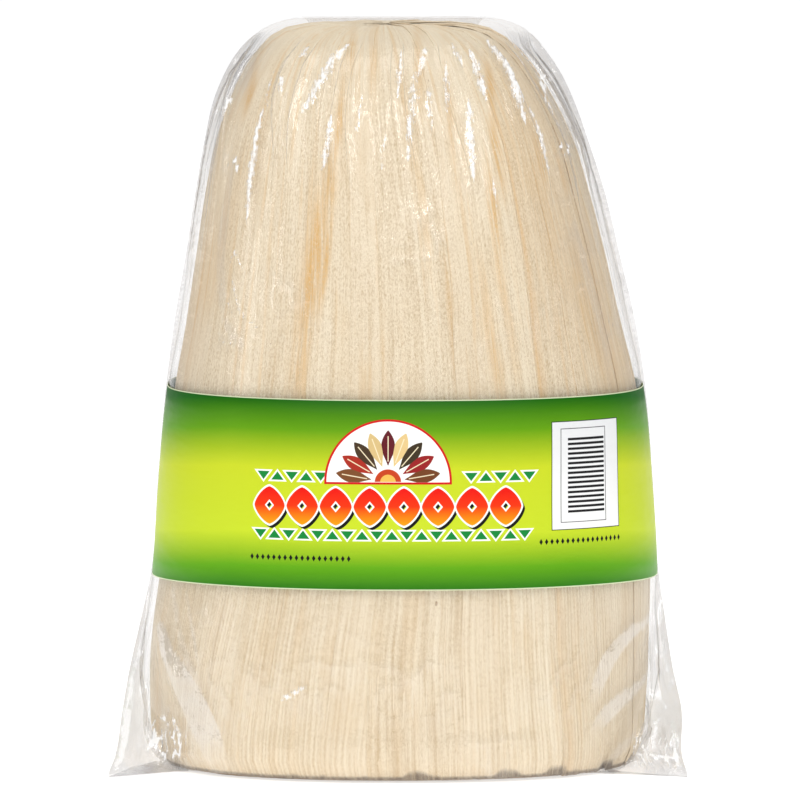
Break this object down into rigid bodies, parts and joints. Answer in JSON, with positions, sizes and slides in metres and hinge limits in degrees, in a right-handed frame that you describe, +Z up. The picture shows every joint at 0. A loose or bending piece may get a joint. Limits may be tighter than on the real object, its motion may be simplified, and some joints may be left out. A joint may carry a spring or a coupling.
{
  "type": "bundle of corn husks",
  "caption": "Bundle of dried corn husks standing on its cut ends, narrowing to closed tips, in a clear film bag with a printed band round its middle.",
  "frame": {"origin": "middle of the base that the bundle stands on", "axes": "+Z up along the husks, from butt ends to tips; -Y is the front, where the band's ornament is; +X is to the right seen from the front"},
  "size_m": [0.194, 0.1282, 0.251],
  "materials": {
    "dried_husk": "dry, matte, pale straw with fine lengthwise veins",
    "clear_film": "thin clear film, glossy, wrinkled",
    "printed_band": "printed film band, satin, green with a yellow-green middle"
  },
  "bodies": {
    "root": {"outer_husk_01": "dried_husk", "outer_husk_02": "dried_husk", "outer_husk_03": "dried_husk", "outer_husk_04": "dried_husk", "outer_husk_05": "dried_husk", "outer_husk_06": "dried_husk", "outer_husk_07": "dried_husk", "outer_husk_08": "dried_husk", "outer_husk_09": "dried_husk", "outer_husk_10": "dried_husk", "inner_husk_01": "dried_husk", "inner_husk_02": "dried_husk", "inner_husk_03": "dried_husk", "inner_husk_04": "dried_husk", "inner_husk_05": "dried_husk", "inner_husk_06": "dried_husk", "inner_husk_07": "dried_husk", "inner_husk_08": "dried_husk", "inner_husk_09": "dried_husk", "inner_husk_10": "dried_husk", "stacked_husk_01": "dried_husk", "stacked_husk_02": "dried_husk", "stacked_husk_03": "dried_husk", "stacked_husk_04": "dried_husk", "stacked_husk_05": "dried_husk", "stacked_husk_06": "dried_husk", "stacked_husk_07": "dried_husk", "stacked_husk_08": "dried_husk", "stacked_husk_09": "dried_husk", "stacked_husk_10": "dried_husk", "stacked_husk_11": "dried_husk", "stacked_husk_12": "dried_husk", "stacked_husk_13": "dried_husk", "stacked_husk_14": "dried_husk", "stacked_husk_15": "dried_husk", "stacked_husk_16": "dried_husk", "stacked_husk_17": "dried_husk", "stacked_husk_18": "dried_husk", "stacked_husk_19": "dried_husk", "stacked_husk_20": "dried_husk", "film_bag": "clear_film", "label_band": "printed_band"}
  },
  "joints": []
}
